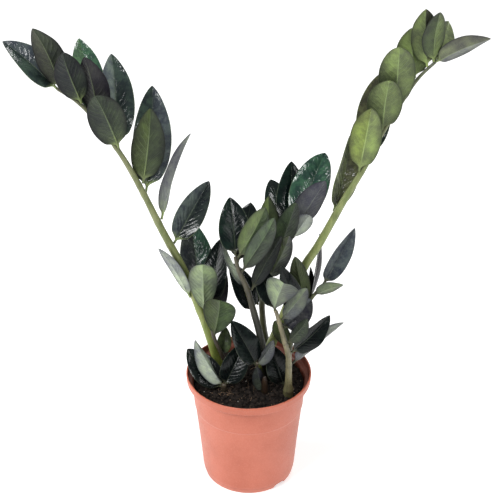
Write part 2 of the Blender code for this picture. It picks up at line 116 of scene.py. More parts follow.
# (leaflet, stem, place along it, tip (x, y, z) mm, width mm, turn deg, fold deg, bow %)
LEAFLETS = (
    ("left_leaflet_01", "left_frond_stem", 1.000, (-215, 51, 437), 30, 25, 22, 4),
    ("left_leaflet_02", "left_frond_stem", 0.990, (-184, 26, 460), 28, 160, 12, 5),
    ("left_leaflet_03", "left_frond_stem", 0.930, (-159, 15, 443), 27, 185, 12, 5),
    ("left_leaflet_04", "left_frond_stem", 0.870, (-142, 31, 431), 28, 165, 15, 5),
    ("left_leaflet_05", "left_frond_stem", 0.880, (-153, 93, 421), 31, 30, 12, 5),
    ("left_leaflet_06", "left_frond_stem", 0.780, (-133, 14, 402), 33, 180, 10, 5),
    ("left_leaflet_07", "left_frond_stem", 0.780, (-124, 86, 409), 34, 15, 15, 5),
    ("left_leaflet_08", "left_frond_stem", 0.630, (-89, 97, 372), 37, 15, 15, 5),
    ("left_leaflet_09", "left_frond_stem", 0.660, (-87, 34, 380), 31, 180, 12, 5),
    ("left_leaflet_10", "left_frond_stem", 0.540, (-54, 64, 340), 25, 252, 20, 3),
    ("left_leaflet_11", "left_frond_stem", 0.460, (-37, 68, 287), 31, 10, 35, 5),
    ("left_leaflet_12", "left_frond_stem", 0.270, (-56, 71, 244), 33, 10, 15, 5),
    ("left_leaflet_13", "left_frond_stem", 0.300, (-82, 5, 253), 14, 140, 12, 4),
    ("left_leaflet_14", "left_frond_stem", 0.240, (-42, -7, 242), 27, 180, 10, 5),
    ("right_leaflet_01", "right_frond_stem", 1.000, (211, 47, 441), 24, 235, 20, 3),
    ("right_leaflet_02", "right_frond_stem", 1.000, (163, 32, 472), 22, 200, 12, 5),
    ("right_leaflet_03", "right_frond_stem", 1.000, (180, 95, 437), 22, 20, 12, 5),
    ("right_leaflet_04", "right_frond_stem", 0.980, (152, 42, 471), 26, 180, 15, 5),
    ("right_leaflet_05", "right_frond_stem", 0.940, (142, 54, 448), 30, 180, 12, 5),
    ("right_leaflet_06", "right_frond_stem", 0.850, (130, 30, 441), 33, 180, 12, 5),
    ("right_leaflet_07", "right_frond_stem", 0.710, (122, 95, 386), 32, 0, 12, 5),
    ("right_leaflet_08", "right_frond_stem", 0.790, (123, 30, 409), 32, 180, 12, 5),
    ("right_leaflet_09", "right_frond_stem", 0.670, (108, 25, 385), 29, 180, 10, 5),
    ("right_leaflet_10", "right_frond_stem", 0.540, (94, 70, 334), 27, 30, 30, 5),
    ("back_leaflet_01", "back_frond_stem", 1.000, (71, 76, 313), 35, -10, 12, 5),
    ("back_leaflet_02", "back_frond_stem", 1.000, (69, 17, 316), 26, 205, 20, 3),
    ("back_leaflet_03", "back_frond_stem", 0.930, (40, 74, 305), 28, 0, 12, 5),
    ("back_leaflet_04", "back_frond_stem", 0.900, (21, 93, 275), 27, 0, 12, 5),
    ("back_leaflet_05", "back_frond_stem", 0.690, (18, 24, 296), 24, 180, 12, 5),
    ("back_leaflet_06", "back_frond_stem", 0.800, (42, -5, 306), 21, 195, 16, 5),
    ("back_leaflet_07", "back_frond_stem", 0.940, (55, 11, 284), 17, 200, 12, 3),
    ("back_leaflet_08", "back_frond_stem", 0.660, (36, -21, 281), 19, 185, 18, 5),
    ("back_leaflet_09", "back_frond_stem", 0.470, (4, 19, 201), 10, 180, 12, 5),
    ("centre_leaflet_01", "centre_frond_stem", 1.000, (-17, 19, 298), 29, 10, 12, 5),
    ("centre_leaflet_02", "centre_frond_stem", 0.950, (2, 46, 277), 27, 0, 12, 5),
    ("centre_leaflet_03", "centre_frond_stem", 1.000, (15, -20, 310), 26, 165, 18, 5),
    ("centre_leaflet_04", "centre_frond_stem", 0.900, (23, -54, 320), 19, 172, 16, 5),
    ("centre_leaflet_05", "centre_frond_stem", 0.760, (-25, 5, 263), 17, 250, 20, 3),
    ("centre_leaflet_06", "centre_frond_stem", 0.750, (29, -16, 278), 15, 180, 14, 5),
    ("centre_leaflet_07", "centre_frond_stem", 0.570, (-18, 24, 225), 24, 25, 15, 5),
    ("front_leaflet_01", "front_frond_stem", 0.980, (7, 19, 224), 22, 20, 15, 5),
    ("front_leaflet_02", "front_frond_stem", 1.000, (31, -53, 252), 30, 180, 12, 5),
    ("front_leaflet_03", "front_frond_stem", 0.890, (53, -31, 232), 18, 165, 20, 5),
    ("front_leaflet_04", "front_frond_stem", 0.790, (59, 6, 195), 26, 20, 15, 5),
    ("front_leaflet_05", "front_frond_stem", 0.650, (54, -42, 206), 17, 150, 20, 5),
    ("front_leaflet_06", "front_frond_stem", 0.520, (76, -6, 185), 24, 35, 20, 5),
    ("front_leaflet_07", "front_frond_stem", 0.410, (89, -4, 176), 24, 240, 20, 3),
    ("front_leaflet_08", "front_frond_stem", 0.140, (22, -7, 152), 24, 0, 15, 5),
    ("rb_leaf_1", "right_back_shoot", 0.830, (67, 43, 245), 18, 75, 15, 2),
    ("rb_leaf_2", "right_back_shoot", 1.000, (99, 41, 252), 21, 25, 25, 3),
    ("rb_leaf_3", "right_back_shoot", 0.880, (87, -5, 219), 14, 225, 15, 3),
    ("rb_leaf_4", "right_back_shoot", 0.750, (42, 3, 245), 18, 180, 12, 5),
    ("rb_leaf_5", "right_back_shoot", 0.760, (58, 25, 219), 15, 60, 15, 3),
    ("rb_leaf_6", "right_back_shoot", 0.660, (30, -1, 237), 22, 10, 15, 5),
    ("rb_leaf_7", "right_back_shoot", 0.400, (24, -10, 182), 15, 180, 12, 5),
    ("lf_leaf_1", "left_front_shoot", 0.880, (-51, -4, 156), 22, 225, 20, 3),
    ("lf_leaf_2", "left_front_shoot", 0.890, (-4, 4, 148), 27, 10, 25, 5),
    ("lf_leaf_3", "left_front_shoot", 0.750, (-59, 11, 135), 27, 0, 15, 5),
    ("lm_leaf_1", "left_middle_shoot", 0.660, (-26, -16, 209), 31, 180, 10, 5),
    ("lm_leaf_2", "left_middle_shoot", 0.810, (-22, 25, 216), 18, 180, 12, 5),
    ("lm_leaf_3", "left_middle_shoot", 1.000, (-27, 52, 233), 25, -20, 12, 5),
    ("lm_leaf_4", "left_middle_shoot", 0.400, (-22, 15, 158), 14, 10, 12, 5),
    ("fs_leaf_1", "front_stub_shoot", 0.420, (7, -22, 138), 14, 210, 15, 5),
    ("md_leaf_1", "middle_shoot", 1.000, (24, -19, 166), 15, 140, 12, 5),
    ("md_leaf_2", "middle_shoot", 0.960, (-16, -7, 180), 26, 20, 15, 5),
)

OUTER = (
    (RIM_RADIUS - 1.3, POT_HEIGHT), (RIM_RADIUS - 0.4, POT_HEIGHT - 0.3),
    (RIM_RADIUS, POT_HEIGHT - 1.1), (RIM_RADIUS - 0.5, POT_HEIGHT - 7.6),
    (RIM_RADIUS - 1.2, POT_HEIGHT - 8.3), (55.4, 108.0), (54.6, 107.0),
    (52.4, 81.6), (51.6, 80.0), (47.6, 40.0), (45.0, 9.0), (44.3, 5.5),
    (43.2, 1.2), (FOOT_RADIUS, 0.0), (0.0, 0.0))
INNER = (
    (0.0, FLOOR), (40.6, FLOOR), (42.6, 4.0), (43.6, 10.0), (46.2, 40.0),
    (50.2, 79.6), (51.0, 81.2), (53.2, 106.4), (54.2, 108.6),
    (RIM_RADIUS - 2.4, POT_HEIGHT - 7.0), (RIM_RADIUS - 1.9, POT_HEIGHT - 0.6),
    (RIM_RADIUS - 1.3, POT_HEIGHT))
g = SOIL_GAP
SOIL = (
    (0.0, SOIL_TOP + 1.6), (18.0, SOIL_TOP + 1.3), (34.0, SOIL_TOP + 0.4), (46.0, SOIL_TOP - 0.6),
    (52.4 - g, SOIL_TOP - 1.4), (53.0 - g, SOIL_TOP - 2.4), (51.0 - g, 81.2), (50.2 - g, 79.4),
    (46.2 - g, 40.0), (43.6 - g, 10.2), (42.6 - g, 4.3), (40.4 - g, FLOOR + g), (0.0, FLOOR + g))


# --------------------------------------------------------------- looks table
# Linear base colours of the glossy upper side and of the matte underside. Some are painted light: pale upper-side
# shades such as silver, pewter and sea stand in for sheen and reflection on the waxy top, and the dark underside shade
# dusk stands in for undersides seen in shade.
TOP = {
    "black": (0.0045, 0.0075, 0.0075),
    "deep": (0.0040, 0.0110, 0.0090),
    "teal": (0.0085, 0.0200, 0.0170),
    "sea": (0.022, 0.038, 0.031),
    "emerald": (0.026, 0.066, 0.046),
    "green": (0.082, 0.150, 0.080),
    "moss": (0.062, 0.084, 0.040),
    "brown": (0.060, 0.060, 0.034),
    "olive": (0.125, 0.150, 0.080),
    "silver": (0.125, 0.150, 0.155),
    "sage": (0.170, 0.220, 0.130),
    "plum": (0.028, 0.026, 0.033),
    "steel": (0.052, 0.062, 0.074),
    "pewter": (0.080, 0.098, 0.104),
}
UNDER = {
    "drab": (0.125, 0.136, 0.086),
    "slate": (0.030, 0.039, 0.029),
    "dusk": (0.015, 0.019, 0.019),
    "plum": (0.020, 0.0195, 0.024),
    "umber": (0.036, 0.032, 0.026),
    "bark": (0.042, 0.043, 0.036),
    "mauve": (0.026, 0.025, 0.031),
    "moss": (0.050, 0.068, 0.024),
    "olive": (0.118, 0.158, 0.060),
    "leaf": (0.172, 0.225, 0.090),
    "lime": (0.175, 0.220, 0.058),
    "pine": (0.066, 0.100, 0.052),
    "sage": (0.180, 0.220, 0.150),
    "mint": (0.230, 0.290, 0.180),
    "silver": (0.330, 0.370, 0.330),
    "ash": (0.165, 0.178, 0.178),
    "grey": (0.095, 0.102, 0.106),
    "steel": (0.060, 0.064, 0.074),
}
# leaflet: (upper side, underside).  A pair of shades is (left half, right half)
# of that side, as seen facing it with the tip up, and paints one half lit and the other in shade.
LOOKS = {
    "left_leaflet_01": (("sea", "steel"), "slate"), "left_leaflet_02": ("black", ("bark", "slate")),
    "left_leaflet_03": ("black", "dusk"), "left_leaflet_04": ("black", ("plum", "mauve")),
    "left_leaflet_05": (("green", "emerald"), "slate"), "left_leaflet_06": ("black", "slate"),
    "left_leaflet_07": (("silver", "teal"), "slate"), "left_leaflet_08": (("sea", "steel"), "slate"),
    "left_leaflet_09": ("teal", ("moss", "slate")), "left_leaflet_10": (("plum", "silver"), ("ash", "ash")),
    "left_leaflet_11": (("pewter", "black"), "slate"), "left_leaflet_12": (("plum", "emerald"), "slate"),
    "left_leaflet_13": ("silver", "silver"), "left_leaflet_14": ("teal", ("mint", "mint")),
    "right_leaflet_01": ("black", ("drab", "ash")), "right_leaflet_02": ("teal", ("slate", "olive")),
    "right_leaflet_03": ("olive", "pine"), "right_leaflet_04": ("teal", ("leaf", "umber")),
    "right_leaflet_05": ("teal", ("leaf", "olive")), "right_leaflet_06": ("teal", ("leaf", "olive")),
    "right_leaflet_07": (("brown", "teal"), ("dusk", "slate")), "right_leaflet_08": ("teal", ("leaf", "olive")),
    "right_leaflet_09": ("teal", ("lime", "leaf")), "right_leaflet_10": (("olive", "brown"), "olive"),
    "back_leaflet_01": ("emerald", "slate"), "back_leaflet_02": ("black", ("grey", "steel")),
    "back_leaflet_03": (("deep", "black"), "slate"), "back_leaflet_04": (("deep", "black"), "slate"),
    "back_leaflet_05": ("black", ("olive", "slate")), "back_leaflet_06": ("black", ("pine", "slate")),
    "back_leaflet_07": ("black", ("silver", "silver")), "back_leaflet_08": ("black", ("olive", "grey")),
    "back_leaflet_09": ("black", "moss"),
    "centre_leaflet_01": (("deep", "black"), "slate"), "centre_leaflet_02": ("black", "slate"),
    "centre_leaflet_03": ("black", ("olive", "pine")), "centre_leaflet_04": ("black", ("pine", "slate")),
    "centre_leaflet_05": ("black", "silver"), "centre_leaflet_06": ("black", ("slate", "dusk")),
    "centre_leaflet_07": ("black", "slate"),
    "front_leaflet_01": ("black", "slate"), "front_leaflet_02": ("black", ("sage", "grey")),
    "front_leaflet_03": ("black", ("sage", "grey")), "front_leaflet_04": (("steel", "plum"), "slate"),
    "front_leaflet_05": ("black", "slate"), "front_leaflet_06": ("black", "slate"),
    "front_leaflet_07": ("black", "ash"), "front_leaflet_08": ("black", "dusk"),
    "rb_leaf_1": ("plum", "grey"), "rb_leaf_2": ("steel", "grey"), "rb_leaf_3": ("plum", "sage"),
    "rb_leaf_4": ("moss", "moss"), "rb_leaf_5": ("black", "dusk"), "rb_leaf_6": ("black", "slate"),
    "rb_leaf_7": ("moss", "moss"),
    "lf_leaf_1": ("black", "silver"), "lf_leaf_2": ("black", "dusk"), "lf_leaf_3": ("black", "dusk"),
    "lm_leaf_1": ("black", ("moss", "pine")), "lm_leaf_2": ("plum", "plum"), "lm_leaf_3": ("black", "dusk"),
    "lm_leaf_4": ("moss", "moss"),
    "fs_leaf_1": ("black", ("slate", "steel")), "md_leaf_1": ("black", "grey"), "md_leaf_2": ("black", "dusk"),
}
# Shape touches for single leaflets: how far the fine blade differs from the plain one.
TOUCH = {
    "front_leaflet_02": dict(low=0.95, high=0.42, cup=0.22),
    "front_leaflet_03": dict(low=0.50, high=0.70, cup=0.20),
    "lm_leaf_1": dict(low=0.80, high=0.50, cup=0.20),
    "left_leaflet_14": dict(low=0.75, high=0.50),
    "back_leaflet_01": dict(low=0.55, high=0.70),
    "back_leaflet_07": dict(low=0.85, high=0.60, cup=0.05),
    "right_leaflet_06": dict(low=0.50, high=0.60),
    "right_leaflet_08": dict(low=0.50, high=0.62),
    "right_leaflet_09": dict(low=0.52, high=0.68),
    "left_leaflet_06": dict(low=0.52, high=0.62),
}
PALE_STALK = (0.230, 0.290, 0.115)
DARK_STALK = (0.075, 0.078, 0.045)


# ------------------------------------------------------------------ helpers
def smooth_path(points, per_span):
    """Points of a Catmull-Rom curve through the given ones, radius included."""
    ends = [points[0]] + list(points) + [points[-1]]
    made = []
    for a, b, c, d in zip(ends, ends[1:], ends[2:], ends[3:]):
        for k in range(per_span):
            t = k / per_span
            made.append(tuple(
                0.5 * (2 * q + (r - p) * t + (2 * p - 5 * q + 4 * r - s) * t * t
                       + (3 * q - p - 3 * r + s) * t ** 3)
                for p, q, r, s in zip(a, b, c, d)))
    made.append(tuple(float(v) for v in points[-1]))
    return made


def along(points, share):
    """(point, unit tangent, radius) at a share of a stem's length, in mm."""
    path = smooth_path(points, 10)
    spots = [Vector(p[:3]) for p in path]
    steps = [(b - a).length for a, b in zip(spots, spots[1:])]
    want = share * sum(steps)
    for i, step in enumerate(steps):
        if want <= step or i == len(steps) - 1:
            t = min(1.0, want / step)
            spot = spots[i].lerp(spots[i + 1], t)
            radius = path[i][3] + (path[i + 1][3] - path[i][3]) * t
            return spot, (spots[i + 1] - spots[i]).normalized(), radius
        want -= step


def leaf_base(points, share, tip, clear):
    """Where a leaflet's stalk starts: on the stem's skin, or inside it if they are one piece."""
    spot, tangent, radius = along(points, share)
    run = (tip - spot).normalized()
    across = run - tangent * run.dot(tangent)
    lean = abs(run.dot(tangent))
    if share > 0.985 and clear and across.length < 0.55:
        return spot + tangent * (LEAF_GAP + STALK_RADIUS * math.sqrt(max(0.0, 1 - lean * lean)))
    across.normalize()
    if not clear:
        return spot + across * radius * 0.35 - tangent * (2.5 if share > 0.95 else 0.0)
    return spot + across * (radius + LEAF_GAP + STALK_RADIUS * lean)


def step01(x, low, high):
    t = np.clip((x - low) / (high - low), 0, 1)
    return t * t * (3 - 2 * t)


def mesh_object(name, verts, faces, mats, smooth=True):
    mesh = bpy.data.meshes.new(name)
    mesh.from_pydata(verts, [], faces)
    for mat in mats:
        mesh.materials.append(mat)
    if smooth:
        mesh.shade_smooth()
    obj = bpy.data.objects.new(name, mesh)
    bpy.context.scene.collection.objects.link(obj)
    return obj


# ------------------------------------------------------------ material graphs
class Graph:
    """A short way to write a Principled material as nodes."""

    def __init__(self, name):
        self.mat = bpy.data.materials.new(name)
        self.mat.use_nodes = True
        self.tree = self.mat.node_tree
        self.tree.nodes.clear()
        self.shader = self.tree.nodes.new("ShaderNodeBsdfPrincipled")
        out = self.tree.nodes.new("ShaderNodeOutputMaterial")
        self.tree.links.new(self.shader.outputs[0], out.inputs["Surface"])

    def put(self, socket, value):
        if isinstance(value, bpy.types.NodeSocket):
            self.tree.links.new(value, socket)
        elif isinstance(value, tuple) and socket.type == "RGBA":
            socket.default_value = (*value[:3], 1)
        else:
            socket.default_value = value

    def math(self, operation, a, b=0.0, clamp=False):
        node = self.tree.nodes.new("ShaderNodeMath")
        node.operation = operation
        node.use_clamp = clamp
        self.put(node.inputs[0], a)
        self.put(node.inputs[1], b)
        return node.outputs[0]

    def ease(self, value, low, high, to_low=0.0, to_high=1.0):
        node = self.tree.nodes.new("ShaderNodeMapRange")
        node.interpolation_type = "SMOOTHSTEP"
        self.put(node.inputs["Value"], value)
        self.put(node.inputs["From Min"], low)
        self.put(node.inputs["From Max"], high)
        self.put(node.inputs["To Min"], to_low)
        self.put(node.inputs["To Max"], to_high)
        return node.outputs["Result"]

    def mix(self, factor, a, b, how="MIX"):
        node = self.tree.nodes.new("ShaderNodeMix")
        node.data_type = "RGBA"
        node.blend_type = how
        self.put(node.inputs[0], factor)
        self.put(node.inputs[6], a)
        self.put(node.inputs[7], b)
        return node.outputs[2]

    def noise(self, scale, detail=2.0, rough=0.5, vector=None, warp=0.0):
        node = self.tree.nodes.new("ShaderNodeTexNoise")
        self.put(node.inputs["Scale"], scale)
        self.put(node.inputs["Detail"], detail)
        self.put(node.inputs["Roughness"], rough)
        self.put(node.inputs["Distortion"], warp)
        self.tree.links.new(vector or self.place(), node.inputs["Vector"])
        return node.outputs["Fac"]

    def cells(self, scale, vector=None, feature="F1"):
        node = self.tree.nodes.new("ShaderNodeTexVoronoi")
        node.feature = feature
        self.put(node.inputs["Scale"], scale)
        self.tree.links.new(vector or self.place(), node.inputs["Vector"])
        return node.outputs["Distance"]

    def place(self):
        if not hasattr(self, "_place"):
            node = self.tree.nodes.new("ShaderNodeTexCoord")
            self._place = node.outputs["Object"]
        return self._place

    def stretched(self, x, y, z):
        node = self.tree.nodes.new("ShaderNodeMapping")
        self.tree.links.new(self.place(), node.inputs["Vector"])
        node.inputs["Scale"].default_value = (x, y, z)
        return node.outputs[0]

    def axes(self, vector):
        node = self.tree.nodes.new("ShaderNodeSeparateXYZ")
        self.tree.links.new(vector, node.inputs[0])
        return node.outputs

    def uv(self, name):
        node = self.tree.nodes.new("ShaderNodeUVMap")
        node.uv_map = name
        return self.axes(node.outputs[0])

    def attribute(self, name):
        node = self.tree.nodes.new("ShaderNodeAttribute")
        node.attribute_name = name
        return node.outputs["Color"]

    def paint_occlusion_shade(self, colour, deep, distance=0.022):
        """Painted shade: the colour, multiplied towards a deeper one where other surfaces are close in front, darkening
        crevices and overlaps as ambient occlusion.
        """
        node = self.tree.nodes.new("ShaderNodeAmbientOcclusion")
        node.samples = 6
        node.inputs["Distance"].default_value = distance
        return self.mix(self.ease(node.outputs["AO"], 0.20, 0.95), self.mix(1.0, colour, deep, "MULTIPLY"), colour)

    def bump(self, height, strength, distance):
        node = self.tree.nodes.new("ShaderNodeBump")
        self.put(node.inputs["Height"], height)
        node.inputs["Strength"].default_value = strength
        node.inputs["Distance"].default_value = distance
        self.tree.links.new(node.outputs[0], self.shader.inputs["Normal"])

    def set(self, **values):
        for key, value in values.items():
            self.put(self.shader.inputs[key.replace("_", " ")], value)
        return self.mat


def leaf_veins(g):
    """Masks over a blade: (u, q, midrib, side veins, fine veins, patchiness, pucker)."""
    u, v = g.uv("leaf")[:2]
    q = g.math("ABSOLUTE", g.math("SUBTRACT", g.math("MULTIPLY", v, 2.0), 1.0))
    edge = g.ease(u, 0.0, 1.0, 0.075, 0.026)
    rib = g.math("SUBTRACT", 1.0, g.ease(q, g.math("MULTIPLY", edge, 0.30), edge))
    sway = g.math("MULTIPLY", g.noise(75, 3.0), 1.5)
    phase = g.math("ADD", g.math("SUBTRACT", g.math("MULTIPLY", u, 11.0),
                                 g.math("MULTIPLY", g.math("POWER", q, 1.25), 2.6)), sway)
    wave = g.math("ABSOLUTE", g.math("SUBTRACT", g.math("FRACT", phase), 0.5))
    patch = g.ease(g.noise(48, 3.0, 0.6), 0.40, 0.62)
    veins = g.math("SUBTRACT", 1.0, g.ease(wave, 0.01, 0.15))
    veins = g.math("MULTIPLY", veins, g.ease(q, 0.97, 0.55))
    veins = g.math("MULTIPLY", veins, g.ease(u, 0.97, 0.80))
    veins = g.math("MULTIPLY", veins, g.ease(u, 0.06, 0.14))
    fine = g.math("ABSOLUTE", g.math("SUBTRACT", g.math("FRACT", g.math("MULTIPLY", phase, 3.0)), 0.5))
    fine = g.math("MULTIPLY", g.math("SUBTRACT", 1.0, g.ease(fine, 0.02, 0.34)), g.ease(q, 0.99, 0.6))
    pucker = g.math("MULTIPLY", g.ease(wave, 0.02, 0.46), g.math("MULTIPLY", g.ease(q, 1.0, 0.5), g.ease(q, 0.02, 0.22)))
    return u, q, rib, veins, fine, patch, pucker


def leaf_top_material(name, swell_by, pucker_by, strength, specular):
    """Waxy upper side: almost black, puckered between its veins, with broken highlights."""
    g = Graph(name)
    u, q, rib, veins, fine, patch, pucker = leaf_veins(g)
    tint, rib_tint = g.attribute("tint"), g.attribute("rib")
    mottle = g.noise(120, 4.0, 0.65)
    colour = g.mix(g.ease(mottle, 0.36, 0.66), g.mix(1.0, tint, (0.62, 0.62, 0.70), "MULTIPLY"),
                   g.mix(1.0, tint, (1.45, 1.50, 1.25), "MULTIPLY"))
    speck = g.noise(1000, 2.0, 0.7)
    colour = g.mix(g.ease(speck, 0.56, 0.72, 0.0, 0.30), colour, g.mix(1.0, tint, (2.0, 2.1, 1.8), "MULTIPLY"))
    colour = g.mix(g.math("MULTIPLY", g.math("MULTIPLY", veins, patch), 0.10), colour, rib_tint)
    colour = g.mix(g.math("MULTIPLY", rib, 0.26), colour, rib_tint)
    # painted highlight: a thin pale line along the margin of the upper side
    colour = g.mix(g.ease(q, 0.950, 0.995, 0.0, 0.55), colour, rib_tint)
    swell = g.noise(150, 2.0, 0.55, warp=0.5)
    broad = g.noise(55, 2.0, 0.5)
    pores = g.noise(2600, 1.0)
    height = g.math("ADD", g.math("MULTIPLY", swell, swell_by), g.math("MULTIPLY", broad, 1.7))
    height = g.math("ADD", height, g.math("MULTIPLY", g.math("MULTIPLY", pucker, g.ease(patch, 0.0, 1.0, 0.2, 1.0)), pucker_by))
    height = g.math("SUBTRACT", height, g.math("MULTIPLY", veins, 0.10))
    height = g.math("SUBTRACT", height, g.math("MULTIPLY", rib, 0.45))
    height = g.math("SUBTRACT", height, g.math("MULTIPLY", fine, 0.05))
    height = g.math("ADD", height, g.math("MULTIPLY", pores, 0.02))
    g.bump(height, strength, 0.0010)
    rough = g.ease(g.noise(210, 3.0, 0.6), 0.32, 0.70, 0.09, 0.20)
    # painted shade: darker where other leaves and stems lie close in front
    colour = g.paint_occlusion_shade(colour, (0.35, 0.35, 0.38))
    return g.set(Base_Color=colour, Roughness=rough, Specular_IOR_Level=specular, IOR=1.41)


def leaf_under_material():
    """Matte underside: pale midrib, silvery lines near the stalk, and painted shade darkening it towards the margin."""
    g = Graph("leaf_matte_side")
    u, q, rib, veins, fine, patch, pucker = leaf_veins(g)
    tint, rib_tint = g.attribute("tint"), g.attribute("rib")
    mottle = g.noise(85, 5.0, 0.68)
    colour = g.mix(g.ease(mottle, 0.35, 0.65), g.mix(1.0, tint, (0.70, 0.68, 0.77), "MULTIPLY"),
                   g.mix(1.0, tint, (1.26, 1.28, 1.10), "MULTIPLY"))
    cloud = g.noise(32, 2.0, 0.5)
    colour = g.mix(g.ease(cloud, 0.38, 0.62), g.mix(1.0, colour, (0.80, 0.77, 0.87), "MULTIPLY"),
                   g.mix(1.0, colour, (1.13, 1.16, 1.04), "MULTIPLY"))
    grain = g.noise(1200, 3.0, 0.7)
    colour = g.mix(g.ease(grain, 0.46, 0.68, 0.0, 0.38), colour, g.mix(1.0, tint, (1.55, 1.55, 1.45), "MULTIPLY"))
    # painted shade: each half of the underside darkens towards its margin
    painted_shade = g.math("MULTIPLY", g.ease(q, 0.45, 0.95), 0.62)
    colour = g.mix(painted_shade, colour, g.mix(1.0, colour, (0.40, 0.38, 0.48), "MULTIPLY"))
    stripes = g.math("MULTIPLY", g.math("MULTIPLY", fine, g.ease(u, 0.62, 0.12, 0.0, 0.42)), g.ease(patch, 0.0, 1.0, 0.35, 1.0))
    colour = g.mix(stripes, colour, rib_tint)
    colour = g.mix(g.math("MULTIPLY", g.math("MULTIPLY", veins, g.ease(patch, 0.0, 1.0, 0.10, 1.0)), 0.22), colour, rib_tint)
    colour = g.mix(g.math("MULTIPLY", rib, 0.85), colour, rib_tint)
    # painted shade: a dark band along the very margin
    colour = g.mix(g.ease(q, 0.88, 0.985, 0.0, 0.80), colour, g.mix(1.0, tint, (0.26, 0.26, 0.30), "MULTIPLY"))
    height = g.math("ADD", g.math("MULTIPLY", veins, 0.20), g.math("MULTIPLY", rib, 0.7))
    height = g.math("SUBTRACT", height, g.math("MULTIPLY", g.math("MULTIPLY", pucker, g.ease(patch, 0.0, 1.0, 0.15, 1.0)), 0.34))
    height = g.math("ADD", height, g.math("MULTIPLY", fine, 0.08))
    height = g.math("ADD", height, g.math("MULTIPLY", g.noise(80, 3.0), 2.2))
    height = g.math("ADD", height, g.math("MULTIPLY", g.noise(2400, 2.0), 0.05))
    g.bump(height, 0.65, 0.0010)
    rough = g.ease(g.noise(140, 3.0, 0.6), 0.3, 0.75, 0.36, 0.52)
    # painted shade: darker where other leaves and stems lie close in front
    colour = g.paint_occlusion_shade(colour, (0.35, 0.36, 0.38))
    return g.set(Base_Color=colour, Roughness=rough, Specular_IOR_Level=0.30, IOR=1.40)


def stem_material(name, pale, dark, fleck):
    """Fleshy stem: blotches drawn out along it, flecks, and the scars' rings darker."""
    g = Graph(name)
    tone = g.attribute("tint")
    drawn = g.stretched(1.0, 1.0, 0.22)
    blotch = g.noise(170, 4.0, 0.6, vector=drawn)
    colour = g.mix(g.ease(blotch, 0.35, 0.68), pale, dark)
    colour = g.mix(1.0, colour, tone, "MULTIPLY")
    spots = g.cells(620, vector=g.stretched(1.0, 1.0, 0.45))
    colour = g.mix(g.ease(spots, 0.28, 0.12, 0.0, 0.55), colour, fleck)
    lines = g.noise(900, 2.0, vector=g.stretched(1.0, 1.0, 0.05))
    colour = g.mix(g.ease(lines, 0.55, 0.8, 0.0, 0.25), colour, dark)
    height = g.math("ADD", g.math("MULTIPLY", lines, 0.4), g.math("MULTIPLY", blotch, 0.8))
    g.bump(height, 0.35, 0.0005)
    rough = g.ease(blotch, 0.3, 0.7, 0.32, 0.48)
    # painted shade: darker where leaves and other stems lie close
    colour = g.paint_occlusion_shade(colour, (0.45, 0.45, 0.45))
    return g.set(Base_Color=colour, Roughness=rough, Specular_IOR_Level=0.45,
                 Subsurface_Weight=0.12, Subsurface_Radius=(0.6, 0.9, 0.3), Subsurface_Scale=0.002)


def pot_material():
    """Satin moulded plastic: fine turning lines, faint mottling and scuffs, with a painted highlight towards the foot,
    a painted shadow line above it and painted shade on the inner wall.
    """
    g = Graph("terracotta_coloured_plastic")
    x, y, z = g.axes(g.place())[:3]
    cloud = g.noise(26, 4.0, 0.6)
    colour = g.mix(g.ease(cloud, 0.3, 0.72), POT_DARK, POT_PALE)
    grain = g.noise(700, 3.0, 0.65)
    colour = g.mix(g.ease(grain, 0.40, 0.75, 0.0, 0.16), colour, (0.68, 0.27, 0.19))
    streak = g.noise(260, 3.0, 0.6, vector=g.stretched(1.0, 1.0, 0.10))
    colour = g.mix(g.ease(streak, 0.52, 0.80, 0.0, 0.12), colour, (0.50, 0.15, 0.085))
    # painted highlight: lighter towards the foot bevel at the bottom
    painted_foot_highlight = g.ease(z, 0.012, 0.0, 0.0, 0.16)
    colour = g.mix(painted_foot_highlight, colour, (0.66, 0.30, 0.23))
    # painted shadow: a thin dark line where the wall steps into the foot
    painted_foot_shadow_line = g.math("MULTIPLY", g.ease(z, 0.0046, 0.0056), g.ease(z, 0.0070, 0.0060))
    colour = g.mix(g.math("MULTIPLY", painted_foot_shadow_line, 0.35), colour, (0.33, 0.085, 0.050))
    # painted shade: the tint is about a third on the inner wall, darkening it as in shadow
    inner = g.attribute("tint")
    colour = g.mix(1.0, colour, inner, "MULTIPLY")
    rings = g.noise(1.0, 2.0, 0.5, vector=g.stretched(3.0, 3.0, 900.0))
    scuff = g.noise(420, 4.0, 0.7, warp=0.6)
    height = g.math("ADD", g.math("MULTIPLY", rings, 0.30), g.math("MULTIPLY", g.noise(1500, 2.0), 0.35))
    height = g.math("ADD", height, g.math("MULTIPLY", g.noise(30, 2.0), 1.2))
    g.bump(height, 0.30, 0.0004)
    rough = g.ease(scuff, 0.35, 0.8, 0.38, 0.56)
    return g.set(Base_Color=colour, Roughness=rough, Specular_IOR_Level=0.5,
                 Subsurface_Weight=0.10, Subsurface_Radius=(1.0, 0.4, 0.25), Subsurface_Scale=0.002)


def soil_material():
    g = Graph("potting_soil")
    coarse = g.noise(240, 5.0, 0.7)
    fine = g.noise(1400, 3.0, 0.7)
    colour = g.mix(g.ease(coarse, 0.35, 0.65), (0.0026, 0.0018, 0.0016), (0.018, 0.0115, 0.0088))
    colour = g.mix(g.ease(fine, 0.60, 0.74, 0.0, 0.7), colour, (0.085, 0.056, 0.040))
    # painted shade: darker close under crumbs, fibres and stems
    colour = g.paint_occlusion_shade(colour, (0.25, 0.25, 0.25), 0.006)
    height = g.math("ADD", g.math("MULTIPLY", coarse, 1.0), g.math("MULTIPLY", fine, 0.5))
    g.bump(height, 0.9, 0.0018)
    return g.set(Base_Color=colour, Roughness=0.92, Specular_IOR_Level=0.25)


